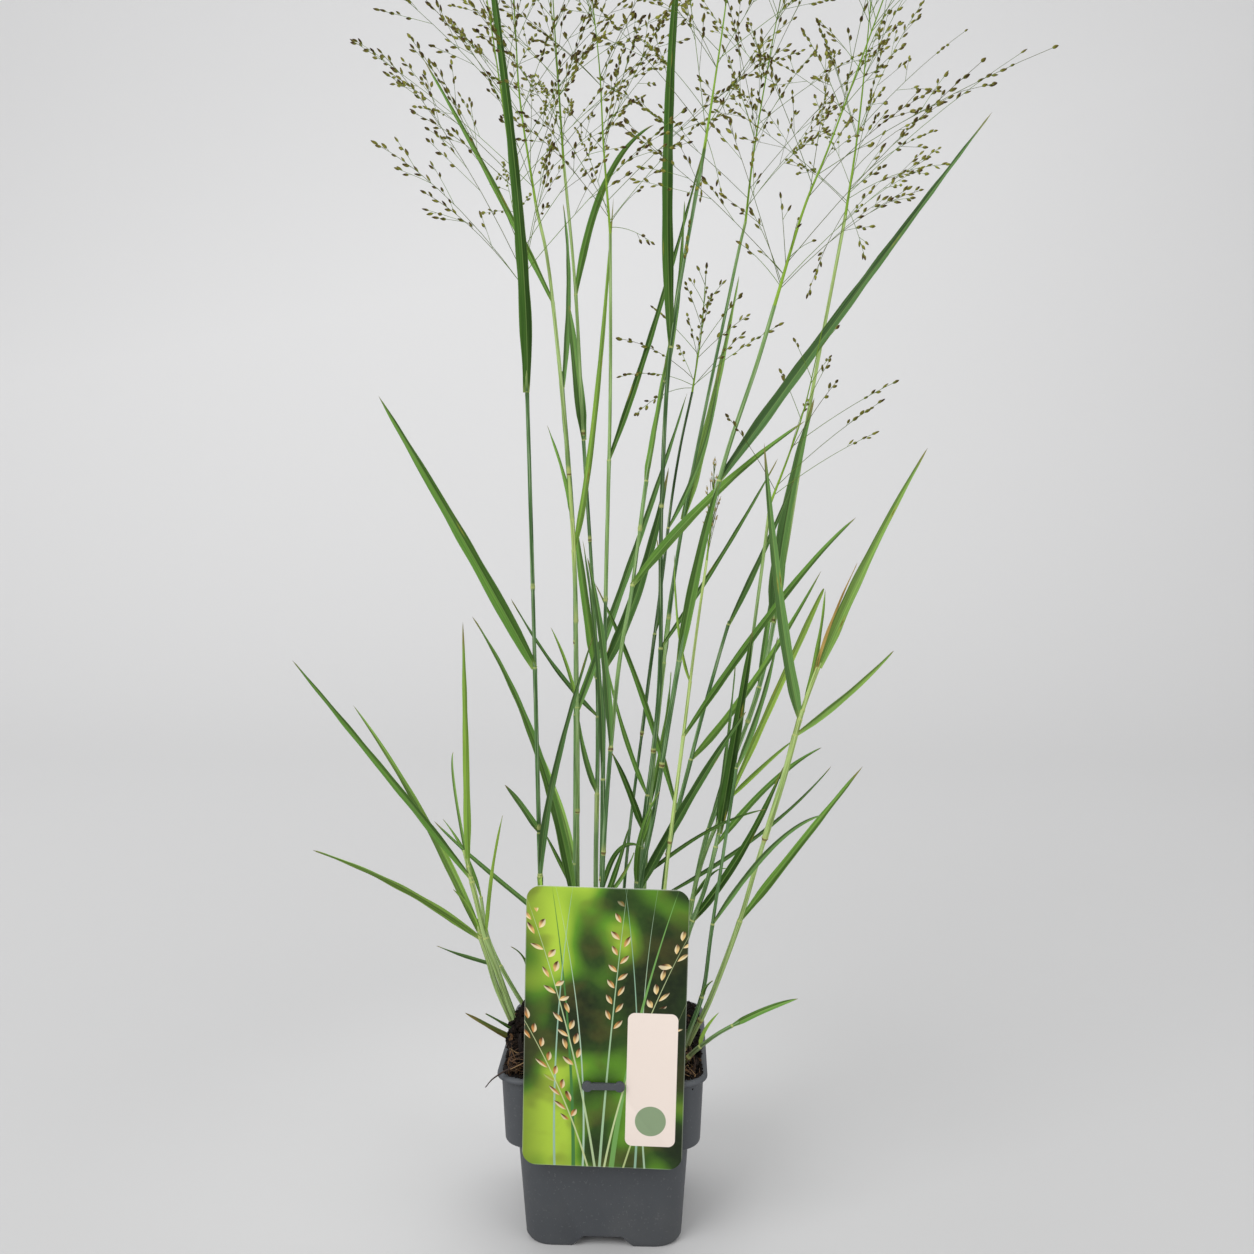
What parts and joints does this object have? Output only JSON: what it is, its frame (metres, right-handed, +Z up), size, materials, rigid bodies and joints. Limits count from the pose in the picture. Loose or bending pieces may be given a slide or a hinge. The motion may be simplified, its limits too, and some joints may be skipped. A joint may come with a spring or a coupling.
{
  "type": "potted switchgrass",
  "caption": "Potted switchgrass: tall upright leafy stems with airy seed sprays, in a square plastic nursery pot of dark soil with a picture card.",
  "frame": {"origin": "middle of the pot's underside, on the surface that it stands on", "axes": "+Z up along the plant, which is the longest side; -Y is the front, where the card hangs; +X to the right of the front"},
  "size_m": [0.308, 0.2381, 0.6036],
  "materials": {
    "pot": "matt slate-grey moulded plastic",
    "soil": "dry dark peat with fine roots",
    "card": "printed thin plastic, satin",
    "leafy_stem": "living grass, satin leaf surface",
    "spray": "fine green branches with olive-brown spikelets"
  },
  "bodies": {
    "root": {"pot": "pot", "soil": "soil", "picture_card": "card", "stem_outer_left_low": "leafy_stem", "stem_outer_left_tall": "leafy_stem", "stem_outer_left_inner": "leafy_stem", "stem_left_tall": "leafy_stem", "stem_back_left": "leafy_stem", "stem_back_middle": "leafy_stem", "stem_middle": "leafy_stem", "stem_middle_leaning": "leafy_stem", "stem_middle_right": "leafy_stem", "stem_thin_arching": "leafy_stem", "stem_back_right": "leafy_stem", "stem_front_right_thick": "leafy_stem", "stem_thin_yellow": "leafy_stem", "stem_right": "leafy_stem", "stem_right_tall": "leafy_stem", "stem_right_dark": "leafy_stem", "stem_far_right": "leafy_stem", "stem_right_light": "leafy_stem", "stem_right_olive": "leafy_stem", "stem_low_right": "leafy_stem", "stem_behind": "leafy_stem", "spray_left_tall": "spray", "spray_back_left": "spray", "spray_back_middle": "spray", "spray_middle": "spray", "spray_middle_right": "spray", "spray_thin_arching": "spray", "spray_back_right": "spray", "spray_front_right_thick": "spray", "spray_thin_yellow": "spray", "spray_right_tall": "spray", "spray_right_dark": "spray"}
  },
  "joints": []
}
